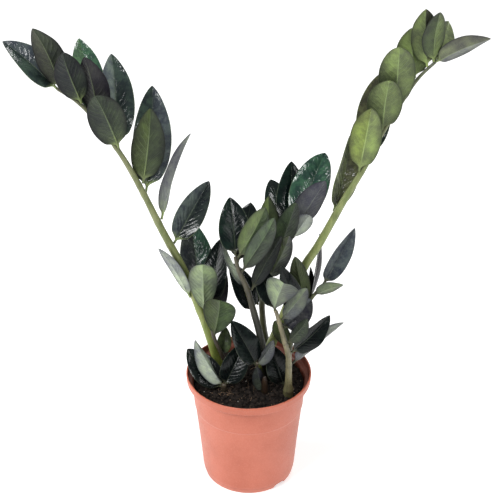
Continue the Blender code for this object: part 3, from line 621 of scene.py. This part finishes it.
def crumb_material(name, dark, pale, rough):
    g = Graph(name)
    colour = g.mix(g.ease(g.noise(500, 4.0, 0.7), 0.35, 0.68), dark, pale)
    g.bump(g.noise(1700, 3.0, 0.7), 0.8, 0.0008)
    return g.set(Base_Color=colour, Roughness=rough, Specular_IOR_Level=0.25)


# ------------------------------------------------------------------ leaf blade
ACROSS = (-1.0, -0.975, -0.90, -0.78, -0.63, -0.47, -0.31, -0.17, -0.075, 0.0,
          0.075, 0.17, 0.31, 0.47, 0.63, 0.78, 0.90, 0.975, 1.0)
UPTO = tuple(0.045 * k / 3 for k in range(3)) + (0.045, 0.06, 0.075, 0.092, 0.112, 0.135) + tuple(
    0.16 + 0.76 * k / 24 for k in range(25)) + (0.94, 0.957, 0.972, 0.984, 0.993)


def half_width(share, low, high):
    peak = low / (low + high)
    most = peak ** low * (1 - peak) ** high
    return share ** low * (1 - share) ** high / most


def blade(name, base, tip, width, turn, fold, bow, stalk):
    """Vertices, faces and colours of one fine leaflet, in mm."""
    rng = random.Random(name)
    touch = dict(low=0.56, high=0.80, twist=rng.uniform(-7, 7), sickle=rng.uniform(-0.018, 0.018),
                 wave=rng.uniform(0.015, 0.05), beats=rng.uniform(1.4, 2.6), phase=rng.uniform(0, 6.28),
                 cup=rng.uniform(0.08, 0.16), tail=rng.uniform(-0.02, 0.015))
    touch.update(TOUCH.get(name, {}))
    run = tip - base
    length = run.length
    axis = run / length
    display = Vector((0, -0.8, 0.6))
    face = (display - axis * display.dot(axis)).normalized()
    side = axis.cross(face)
    q = np.array(ACROSS)
    a = np.abs(q)
    count = len(q)
    verts, uvs, tints_top, tints_low, ribs = [], [], [], [], []
    top_shade, low_shade = LOOKS[name]
    pair = top_shade if isinstance(top_shade, tuple) else (top_shade, top_shade)
    low_pair = low_shade[::-1] if isinstance(low_shade, tuple) else (low_shade, low_shade)
    vary = rng.uniform(0.9, 1.1)
    left, right = (np.array(TOP[s]) * vary for s in pair)
    low_left, low_right = (np.array(UNDER[s]) * vary for s in low_pair)
    # the two halves' shades are painted light and shade of the folded blade, drawn a little towards each other
    left, right = left * 0.85 + right * 0.15, right * 0.85 + left * 0.15
    low_left, low_right = low_left * 0.8 + low_right * 0.2, low_right * 0.8 + low_left * 0.2
    stalk = np.array(stalk)
    for u in UPTO:
        angle = math.radians(turn + touch["twist"] * (u - 0.5) * 2)
        f = face * math.cos(angle) + side * math.sin(angle)
        s = side * math.cos(angle) - face * math.sin(angle)
        arch = 0.01 * bow * length * 4 * u * (1 - u) + touch["tail"] * length * max(0.0, u - 0.6) ** 2 * 6
        centre = base + run * u + f * arch + s * (touch["sickle"] * length * 4 * u * (1 - u))
        blend = float(step01(u, 0.04, 0.125))
        half = max(width / 2 * half_width(max(0.0, (u - 0.035) / 0.965), touch["low"], touch["high"]),
                   STALK_RADIUS * 0.9 * (1 - blend) + 0.02)
        lift = math.radians(fold) * (0.75 + 0.5 * u)
        ridge = np.sqrt((a * half) ** 2 + 0.8) - 0.894
        ruffle = touch["wave"] * half * a ** 2 * np.sin(2 * math.pi * touch["beats"] * u + touch["phase"]
                                                       + np.where(q > 0, 1.9, 0.0)) * blend
        z = ridge * math.sin(lift) + touch["cup"] * half * a * (1 - a) * 2.0 + ruffle
        x = q * half * math.cos(lift)
        groove = 0.28 * np.exp(-((q * half) / 0.75) ** 2) * blend
        keel = (1.05 - 0.75 * u) * np.exp(-((q * half) / (1.0 - 0.45 * u)) ** 2)
        thick = (0.62 - 0.22 * u) * (1 - 0.45 * a ** 6)
        round_x = q * STALK_RADIUS
        round_z = STALK_RADIUS * np.sqrt(np.maximum(0.0, 1 - q * q))
        px = round_x * (1 - blend) + x * blend
        top = round_z * (1 - blend) + (z - groove) * blend
        low = -round_z * (1 - blend) + (z - thick - keel) * blend
        for k in range(count):
            verts.append(centre + s * float(px[k]) + f * float(top[k]))
        rim = 0.16 * blend
        edge_right = centre + s * float(px[-1] + rim) + f * float((top[-1] + low[-1]) / 2)
        verts.append(edge_right)
        for k in range(count - 1, -1, -1):
            verts.append(centre + s * float(px[k]) + f * float(low[k]))
        edge_left = centre + s * float(px[0] - rim) + f * float((top[0] + low[0]) / 2)
        verts.append(edge_left)
        fade = float(step01(u, 0.05, 0.13))
        order = list(q) + [1.0] + list(q[::-1]) + [-1.0]
        for value in order:
            uvs.append((u, 0.5 + 0.5 * value))
            share = float(step01(value, -0.10, 0.10))
            tints_top.append(stalk * (1 - fade) + (left * (1 - share) + right * share) * fade)
            tints_low.append(stalk * (1 - fade) + (low_left * (1 - share) + low_right * share) * fade)
            pale = (low_left * (1 - share) + low_right * share) * 1.9 + np.array((0.035, 0.048, 0.022))
            mixed = stalk * (1 - 0.75 * u) + pale * 0.75 * u
            ribs.append(mixed if u < 0.2 else mixed * 0.45 + pale * 0.55)
    ring = 2 * count + 2
    verts.append(tip.copy())
    uvs.append((1.0, 0.5))
    tints_top.append((left + right) / 2)
    tints_low.append((low_left + low_right) / 2)
    ribs.append(ribs[-1])
    faces, sides = [tuple(range(ring))], [1]
    rows = len(UPTO)
    for i in range(rows - 1):
        for k in range(ring):
            j = (k + 1) % ring
            faces.append((i * ring + k, i * ring + j, (i + 1) * ring + j, (i + 1) * ring + k))
            sides.append(0 if k < count or k == ring - 1 else 1)
    last = (rows - 1) * ring
    for k in range(ring):
        faces.append((last + k, last + (k + 1) % ring, len(verts) - 1))
        sides.append(0 if k < count or k == ring - 1 else 1)
    return dict(verts=verts, faces=faces, sides=sides, uvs=uvs, top=tints_top, low=tints_low, rib=ribs)


# ------------------------------------------------------------------ stem skin
AROUND = 20


def skin(path, scars, tone_low, tone_mid, tone_high):
    """A fleshy stem: swollen at each leaf scar, slightly ridged, in mm."""
    spots = [Vector(p[:3]) for p in path]
    total = sum((b - a).length for a, b in zip(spots, spots[1:]))
    verts, tints, uvs = [], [], []
    reach = 0.0
    up = Vector((0, -1, 0))
    for i, spot in enumerate(spots):
        tangent = (spots[min(i + 1, len(spots) - 1)] - spots[max(i - 1, 0)]).normalized()
        up = (up - tangent * up.dot(tangent)).normalized()
        across = tangent.cross(up)
        share = reach / total
        swell = sum(0.10 * math.exp(-((share - s) * total / 2.6) ** 2) for s in scars)
        ring = sum(math.exp(-((share - s + 1.2 / total) * total / 0.9) ** 2) for s in scars)
        radius = path[i][3] * (1 + min(swell, 0.16)) - 0.10 * min(ring, 1.0)
        near, far = (tone_low, tone_mid) if share < 0.5 else (tone_mid, tone_high)
        blend = share * 2 - (0 if share < 0.5 else 1)
        tone = np.array(near) * (1 - blend) + np.array(far) * blend
        tone = tone * (1 - 0.35 * min(ring, 1.0))
        for k in range(AROUND):
            angle = 2 * math.pi * k / AROUND
            rough = 0.035 * noise.noise(Vector((math.cos(angle) * 1.3, math.sin(angle) * 1.3, reach * 0.07)) + spots[0])
            r = radius * (1 + rough)
            verts.append(spot + up * math.cos(angle) * r + across * math.sin(angle) * r)
            tints.append(tone)
            uvs.append((share, k / AROUND))
        if i < len(spots) - 1:
            reach += (spots[i + 1] - spot).length
    faces = []
    for i in range(len(spots) - 1):
        for k in range(AROUND):
            j = (k + 1) % AROUND
            faces.append((i * AROUND + k, i * AROUND + j, (i + 1) * AROUND + j, (i + 1) * AROUND + k))
    # blunt rounded end
    end = len(spots) - 1
    tangent = (spots[-1] - spots[-2]).normalized()
    start = end * AROUND
    for shrink, ahead in ((0.86, 0.30), (0.55, 0.55)):
        new = len(verts)
        for k in range(AROUND):
            rim = verts[end * AROUND + k]
            verts.append(spots[-1] + (rim - spots[-1]) * shrink + tangent * path[-1][3] * ahead)
            tints.append(tints[end * AROUND])
            uvs.append((1.0, k / AROUND))
        for k in range(AROUND):
            j = (k + 1) % AROUND
            faces.append((start + k, start + j, new + j, new + k))
        start = new
    faces.append(tuple(start + k for k in range(AROUND)))
    faces.append(tuple(range(AROUND - 1, -1, -1)))
    return dict(verts=verts, faces=faces, sides=[2] * len(faces), uvs=uvs, top=tints, low=tints, rib=tints)


def assemble(name, chunks, mats):
    """One object from chunks of skin and blades, with their colours and coordinates."""
    verts, faces, sides = [], [], []
    corner_tint, corner_rib, corner_uv = [], [], []
    for chunk in chunks:
        offset = len(verts)
        verts += [tuple(v * MM) for v in chunk["verts"]]
        for f, s in zip(chunk["faces"], chunk["sides"]):
            faces.append(tuple(i + offset for i in f))
            sides.append(s)
    mesh = bpy.data.meshes.new(name)
    mesh.from_pydata(verts, [], faces)
    for mat in mats:
        mesh.materials.append(mat)
    mesh.polygons.foreach_set("material_index", np.array(sides, np.int32))
    mesh.update()
    uv = np.empty((len(mesh.loops), 2), np.float32)
    tint = np.ones((len(mesh.loops), 4), np.float32)
    rib = np.ones((len(mesh.loops), 4), np.float32)
    row, offset = 0, 0
    for chunk in chunks:
        top, low = np.array(chunk["top"]), np.array(chunk["low"])
        ribs, uvs = np.array(chunk["rib"]), np.array(chunk["uvs"])
        for f, s in zip(chunk["faces"], chunk["sides"]):
            n = len(f)
            index = list(f)
            tint[row:row + n, :3] = (low if s == 1 else top)[index]
            rib[row:row + n, :3] = ribs[index]
            uv[row:row + n] = uvs[index]
            row += n
    layer = mesh.uv_layers.new(name="leaf")
    layer.data.foreach_set("uv", uv.ravel())
    for key, values in (("tint", tint), ("rib", rib)):
        attribute = mesh.attributes.new(key, "FLOAT_COLOR", "CORNER")
        attribute.data.foreach_set("color", values.ravel())
    bm = bmesh.new()
    bm.from_mesh(mesh)
    bmesh.ops.recalc_face_normals(bm, faces=bm.faces)
    bm.to_mesh(mesh)
    bm.free()
    mesh.shade_smooth()
    obj = bpy.data.objects.new(name, mesh)
    bpy.context.scene.collection.objects.link(obj)
    return obj


def stand_for(obj, node):
    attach(obj, BODY)
    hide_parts(node)
    return obj


# ---------------------------------------------------------------- materials
POT_PALE = (0.510, 0.140, 0.082)
POT_DARK = (0.440, 0.108, 0.057)
TOP_MAT = leaf_top_material("leaf_glossy_side", 0.36, 0.16, 0.38, 0.28)
TOP_WET = leaf_top_material("leaf_shining_side", 0.75, 0.55, 0.52, 0.46)
SHINING = ("left_leaflet_01", "left_leaflet_02", "left_leaflet_05", "left_leaflet_07", "left_leaflet_08",
           "left_leaflet_11", "left_leaflet_12", "back_leaflet_01", "right_leaflet_10")
LOW_MAT = leaf_under_material()
GREEN_STEM = stem_material("pale_green_stem", (0.30, 0.36, 0.165), (0.19, 0.255, 0.095), (0.10, 0.14, 0.05))
BROWN_STEM = stem_material("brown_stem", (0.115, 0.105, 0.068), (0.062, 0.058, 0.036), (0.030, 0.026, 0.018))
POT_MAT = pot_material()
SOIL_MAT = soil_material()

# The dark foot and middle tones of centre_frond_stem and the dark tones of left_front_shoot and front_stub_shoot are
# partly painted shade of the plant's shaded heart under its leaves, on top of the stems' own colour.
TONES = {   # multiplies the stem's colours, at its foot, half-way and at its tip
    "left_frond_stem": ((1.06, 1.04, 0.48), (0.68, 0.62, 0.56), (0.46, 0.38, 0.52)),
    "right_frond_stem": ((1.05, 0.98, 0.58), (0.92, 0.86, 0.72), (0.32, 0.29, 0.38)),
    "centre_frond_stem": ((0.10, 0.12, 0.08), (0.14, 0.16, 0.11), (0.9, 0.85, 0.75)),
    "back_frond_stem": ((0.7, 0.8, 0.7), (0.8, 0.9, 0.7), (0.9, 1.0, 0.8)),
    "front_frond_stem": ((1.35, 1.40, 0.95), (2.0, 1.95, 1.75), (2.2, 2.1, 2.0)),
    "right_back_shoot": ((1.0, 1.2, 0.9), (1.1, 1.3, 1.0), (1.2, 1.4, 1.1)),
    "left_front_shoot": ((0.22, 0.17, 0.15), (0.34, 0.27, 0.25), (0.7, 0.6, 0.6)),
    "left_middle_shoot": ((0.45, 0.36, 0.38), (0.5, 0.42, 0.44), (0.9, 0.8, 0.8)),
    "front_stub_shoot": ((0.08, 0.05, 0.05), (0.24, 0.14, 0.13), (0.34, 0.22, 0.20)),
    "middle_shoot": ((0.7, 0.62, 0.62), (0.8, 0.7, 0.7), (1.0, 0.9, 0.9)),
}

# -------------------------------------------------------------- stems, leaves
for name, points in STEMS.items():
    scars = [row[2] for row in LEAFLETS if row[1] == name]
    pale = name in ("left_frond_stem", "right_frond_stem")
    path = smooth_path(points, 9)
    chunk = skin(path, scars, *TONES[name])
    obj = assemble(name + "_skin", [chunk], [TOP_MAT, LOW_MAT, GREEN_STEM if pale else BROWN_STEM])
    stand_for(obj, name)

grown = {}
for row in LEAFLETS:
    name, stem, share, tip, width, turn, fold, bow = row
    tip = Vector(tip)
    points = STEMS.get(stem) or SHOOTS[stem]
    base = leaf_base(points, share, tip, stem in STEMS)
    pale = stem in ("left_frond_stem", "right_frond_stem")
    made = blade(name, base, tip, width, turn, fold, bow, PALE_STALK if pale else DARK_STALK)
    if stem in STEMS:
        obj = assemble(name + "_blade", [made], [TOP_WET if name in SHINING else TOP_MAT, LOW_MAT])
        stand_for(obj, name)
    else:
        grown.setdefault(stem, []).append(made)

for name, points in SHOOTS.items():
    scars = [row[2] for row in LEAFLETS if row[1] == name]
    chunk = skin(smooth_path(points, 9), scars, *TONES[name])
    obj = assemble(name + "_grown", [chunk] + grown[name], [TOP_MAT, LOW_MAT, BROWN_STEM])
    stand_for(obj, name)


# ------------------------------------------------------------------------ pot
def turned(name, profile, steps, mats, tints=None, ripple=None):
    """A solid of revolution from (radius, height) pairs, outer side down, in mm."""
    verts, tint = [], []
    rings = []
    for i, (r, z) in enumerate(profile):
        if r < 1e-6:
            rings.append([len(verts)])
            verts.append((0, 0, z * MM))
            tint.append(tints[i] if tints else 1.0)
            continue
        ring = []
        for k in range(steps):
            angle = 2 * math.pi * k / steps
            dz = ripple(r, angle, z) if ripple else 0.0
            ring.append(len(verts))
            verts.append((r * MM * math.cos(angle), r * MM * math.sin(angle), (z + dz) * MM))
            tint.append(tints[i] if tints else 1.0)
        rings.append(ring)
    faces = []
    for a, b in zip(rings, rings[1:]):
        for k in range(steps):
            j = (k + 1) % steps
            if len(a) == 1:
                faces.append((a[0], b[j], b[k]))
            elif len(b) == 1:
                faces.append((a[k], a[j], b[0]))
            else:
                faces.append((a[k], a[j], b[j], b[k]))
    mesh = bpy.data.meshes.new(name)
    mesh.from_pydata(verts, [], faces)
    for mat in mats:
        mesh.materials.append(mat)
    attribute = mesh.attributes.new("tint", "FLOAT_COLOR", "POINT")
    values = np.ones((len(verts), 4), np.float32)
    values[:, :3] = np.array(tint, np.float32).reshape(len(verts), -1)
    attribute.data.foreach_set("color", values.ravel())
    bm = bmesh.new()
    bm.from_mesh(mesh)
    bmesh.ops.remove_doubles(bm, verts=bm.verts, dist=1e-7)
    bmesh.ops.recalc_face_normals(bm, faces=bm.faces)
    bm.to_mesh(mesh)
    bm.free()
    mesh.shade_smooth()
    obj = bpy.data.objects.new(name, mesh)
    bpy.context.scene.collection.objects.link(obj)
    return obj


def rounded(profile, radius, steps=4):
    """The profile with each corner replaced by a short curve of about that radius."""
    made = [profile[0]]
    for before, here, after in zip(profile, profile[1:], profile[2:]):
        h, a, b = Vector(here), Vector(before), Vector(after)
        reach = min(radius, (a - h).length * 0.45, (b - h).length * 0.45)
        start, end = h + (a - h).normalized() * reach, h + (b - h).normalized() * reach
        for k in range(steps + 1):
            t = k / steps
            made.append(tuple(start * (1 - t) ** 2 + h * 2 * t * (1 - t) + end * t * t))
    made.append(profile[-1])
    return made


def densified(profile, step):
    made = [profile[0]]
    for a, b in zip(profile, profile[1:]):
        count = max(1, int(math.dist(a, b) / step))
        made += [(a[0] + (b[0] - a[0]) * k / count, a[1] + (b[1] - a[1]) * k / count)
                 for k in range(1, count + 1)]
    return made


outer = rounded(OUTER, 1.1)
inner = rounded(INNER, 0.9)
profile = densified(outer + inner[1:], 6.0)
# painted shade: the inner wall gets a tint of 0.33, the outer side 1.0
painted_shade = [1.0 if i < len(densified(outer, 6.0)) else 0.33 for i in range(len(profile))]
pot = turned("pot_shell", profile, 160, [POT_MAT], tints=painted_shade)
for n, bearing in enumerate(NOTCH_BEARINGS):
    angle = math.radians(bearing)
    outward = Vector((math.sin(angle), -math.cos(angle), 0))
    mesh = bpy.data.meshes.new("notch_%d" % (n + 1))
    bm = bmesh.new()
    bmesh.ops.create_cone(bm, cap_ends=True, segments=64, radius1=NOTCH_RADIUS * MM,
                          radius2=NOTCH_RADIUS * MM, depth=9 * MM)
    bm.to_mesh(mesh)
    bm.free()
    cutter = bpy.data.objects.new("notch_%d" % (n + 1), mesh)
    bpy.context.scene.collection.objects.link(cutter)
    cutter.rotation_euler = outward.to_track_quat("Z", "Y").to_euler()
    cutter.location = outward * 44.8 * MM
    cutter.scale = (1, NOTCH_HEIGHT / NOTCH_RADIUS, 1)
    modifier = pot.modifiers.new("notch", "BOOLEAN")
    modifier.operation = "DIFFERENCE"
    modifier.solver = "EXACT"
    modifier.object = cutter
bpy.context.view_layer.update()
graph = bpy.context.evaluated_depsgraph_get()
cut_mesh = bpy.data.meshes.new_from_object(pot.evaluated_get(graph))
pot.modifiers.clear()
pot.data = cut_mesh
cut_mesh.shade_smooth()
cut_mesh.set_sharp_from_angle(angle=math.radians(48))
for obj in [o for o in bpy.data.objects if o.name.startswith("notch_")]:
    bpy.data.objects.remove(obj)
stand_for(pot, "pot")


# ----------------------------------------------------------------------- soil
def soil_height(r, angle, z):
    if z < 95:
        return 0.0
    x, y = r * math.cos(angle), r * math.sin(angle)
    low = noise.noise(Vector((x * 0.055, y * 0.055, 3.1))) * 1.3
    mid = noise.noise(Vector((x * 0.19, y * 0.19, 7.7))) * 1.5
    fine = noise.noise(Vector((x * 0.62, y * 0.62, 1.3))) * 1.0
    edge = min(1.0, max(0.0, (52.0 - r) / 4.0))
    return (low + mid + fine) * (0.25 + 0.75 * edge) - 0.4


top = [(52.15 * k / 46, SOIL_TOP + 1.6 - 3.0 * (k / 46) ** 2) for k in range(47)]
low = [(52.35, SOIL_TOP - 2.4)] + [(r, z) for r, z in SOIL[6:]]
soil = turned("soil_bed", top + low, 150, [SOIL_MAT], ripple=soil_height)
stand_for(soil, "soil")


def lumps(name, count, low_size, high_size, mat, seed, flat=0.7, rim=50.5, lift=0.25):
    """Loose crumbs lying on the soil, as one piece of many small closed lumps."""
    rng = random.Random(seed)
    bm = bmesh.new()
    for _ in range(count):
        r = rim * math.sqrt(rng.random())
        angle = rng.uniform(0, 2 * math.pi)
        size = low_size + (high_size - low_size) * rng.random() ** 2.2
        x, y = r * math.cos(angle), r * math.sin(angle)
        z = SOIL_TOP + 1.6 - 3.0 * (r / 52.15) ** 2 + soil_height(r, angle, 100)
        made = bmesh.ops.create_icosphere(bm, subdivisions=1, radius=size * MM)
        stretch = Vector((rng.uniform(0.7, 1.35), rng.uniform(0.7, 1.2), rng.uniform(flat * 0.8, flat * 1.2)))
        spin = rng.uniform(0, 6.28)
        tilt = rng.uniform(-0.5, 0.5)
        for v in made["verts"]:
            p = v.co.copy()
            bumpy = 1 + 0.35 * noise.noise(p * 900 + Vector((x, y, seed)))
            p = Vector((p.x * stretch.x, p.y * stretch.y, p.z * stretch.z)) * bumpy
            c, s = math.cos(tilt), math.sin(tilt)
            p = Vector((p.x, p.y * c - p.z * s, p.y * s + p.z * c))
            c, s = math.cos(spin), math.sin(spin)
            p = Vector((p.x * c - p.y * s, p.x * s + p.y * c, p.z))
            v.co = p + Vector((x * MM, y * MM, (z + size * lift) * MM))
    mesh = bpy.data.meshes.new(name)
    bm.to_mesh(mesh)
    bm.free()
    mesh.materials.append(mat)
    mesh.shade_smooth()
    obj = bpy.data.objects.new(name, mesh)
    bpy.context.scene.collection.objects.link(obj)
    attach(obj, BODY)
    return obj


lumps("soil_crumbs_dark", 1000, 0.6, 3.0,
      crumb_material("dark_crumbs", (0.004, 0.0030, 0.0024), (0.028, 0.019, 0.014), 0.9), 11)
lumps("soil_crumbs_brown", 360, 0.35, 1.4,
      crumb_material("brown_crumbs", (0.040, 0.026, 0.018), (0.125, 0.082, 0.055), 0.85), 23)
lumps("soil_pale_grains", 60, 0.30, 0.95,
      crumb_material("pale_grains", (0.42, 0.38, 0.33), (0.70, 0.66, 0.60), 0.8), 37, flat=0.8, lift=0.5)


def fibres(name, count, mat, seed):
    """Bits of coir and dry sheath lying on the soil: thin bent sticks, as one piece."""
    rng = random.Random(seed)
    verts, faces = [], []
    for k in range(count):
        r = 49.0 * math.sqrt(rng.random())
        angle = rng.uniform(0, 2 * math.pi)
        x, y = r * math.cos(angle), r * math.sin(angle)
        if k % 3 == 0:                    # a third of them around the front left shoot
            x, y = -24 + rng.uniform(-7, 7), -19 + rng.uniform(-7, 5)
            r, angle = math.hypot(x, y), math.atan2(y, x)
        z = SOIL_TOP + 1.6 - 3.0 * (r / 52.15) ** 2 + soil_height(r, angle, 100) + 0.5
        heading = rng.uniform(0, 6.28)
        length, thick = rng.uniform(2.5, 7.5), rng.uniform(0.14, 0.34)
        bend = rng.uniform(-0.8, 0.8)
        base = len(verts)
        for i in range(6):
            t = i / 5
            turn = heading + bend * t
            cx = x + math.cos(turn) * length * (t - 0.5)
            cy = y + math.sin(turn) * length * (t - 0.5)
            cz = z + 0.9 * math.sin(math.pi * t) * rng.uniform(0.6, 1.0) - (0.5 if i in (0, 5) else 0.0)
            rad = thick * (1 - 0.5 * abs(t - 0.5))
            for c in range(5):
                a = 2 * math.pi * c / 5
                verts.append((MM * (cx - math.sin(turn) * math.cos(a) * rad),
                              MM * (cy + math.cos(turn) * math.cos(a) * rad), MM * (cz + math.sin(a) * rad)))
        for i in range(5):
            for c in range(5):
                d = (c + 1) % 5
                faces.append((base + i * 5 + c, base + i * 5 + d, base + (i + 1) * 5 + d, base + (i + 1) * 5 + c))
        faces.append(tuple(base + c for c in range(4, -1, -1)))
        faces.append(tuple(base + 25 + c for c in range(5)))
    obj = mesh_object(name, verts, faces, [mat])
    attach(obj, BODY)
    return obj


fibres("soil_fibres", 90, crumb_material("dry_fibre", (0.060, 0.036, 0.022), (0.230, 0.150, 0.095), 0.75), 51)

# ------------------------------------------------------------- floor and light
floor_mat = Graph("pale_floor")
floor_mat.set(Base_Color=(0.90, 0.90, 0.90), Roughness=0.9, Specular_IOR_Level=0.1,
              Emission_Color=(1.0, 1.0, 1.0), Emission_Strength=0.46)
bpy.ops.mesh.primitive_plane_add(size=12, location=(0, 0, -0.0002))
floor = bpy.context.object
floor.name = "floor"
floor.data.materials.append(floor_mat.mat)

world = bpy.data.worlds.new("studio")
bpy.context.scene.world = world
world.use_nodes = True
world.node_tree.nodes["Background"].inputs[0].default_value = (1, 1, 1, 1)
world.node_tree.nodes["Background"].inputs[1].default_value = 0.24


def softbox(name, place, aim, width, height, power, colour=(1, 1, 1)):
    data = bpy.data.lights.new(name, "AREA")
    data.shape = "RECTANGLE"
    data.size, data.size_y = width, height
    data.energy = power
    data.color = colour
    obj = bpy.data.objects.new(name, data)
    bpy.context.scene.collection.objects.link(obj)
    obj.location = place
    obj.rotation_euler = (Vector(aim) - Vector(place)).to_track_quat("-Z", "Y").to_euler()
    return obj


AIM = (0, 0, 0.24)
softbox("key", (-1.05, -1.00, 1.60), AIM, 0.6, 0.6, 25)
softbox("left_wall", (-1.70, 0.15, 0.75), AIM, 0.5, 1.1, 13)
softbox("right_wall", (1.45, -0.85, 0.95), AIM, 0.8, 0.8, 7.5)
softbox("spark_front", (0.15, -1.45, 1.75), AIM, 0.20, 0.20, 4.5)
softbox("spark_right", (0.95, -0.75, 1.75), AIM, 0.20, 0.20, 4.0)
softbox("spark_top", (-0.15, 0.05, 1.90), AIM, 0.22, 0.22, 4.5)
softbox("spark_back", (0.35, 0.95, 1.50), AIM, 0.30, 0.22, 5.0)

# --------------------------------------------------------------------- camera
camera_data = bpy.data.cameras.new("camera")
camera = bpy.data.objects.new("camera", camera_data)
bpy.context.scene.collection.objects.link(camera)
camera_data.sensor_width = 36
camera_data.lens = 108
camera_data.clip_end = 20
camera.location = (0.0012, -1.158, 0.977)
camera.rotation_euler = (math.radians(58), 0, 0)
bpy.context.scene.camera = camera
bpy.context.scene.view_settings.view_transform = "Standard"
bpy.context.scene.view_settings.look = "None"
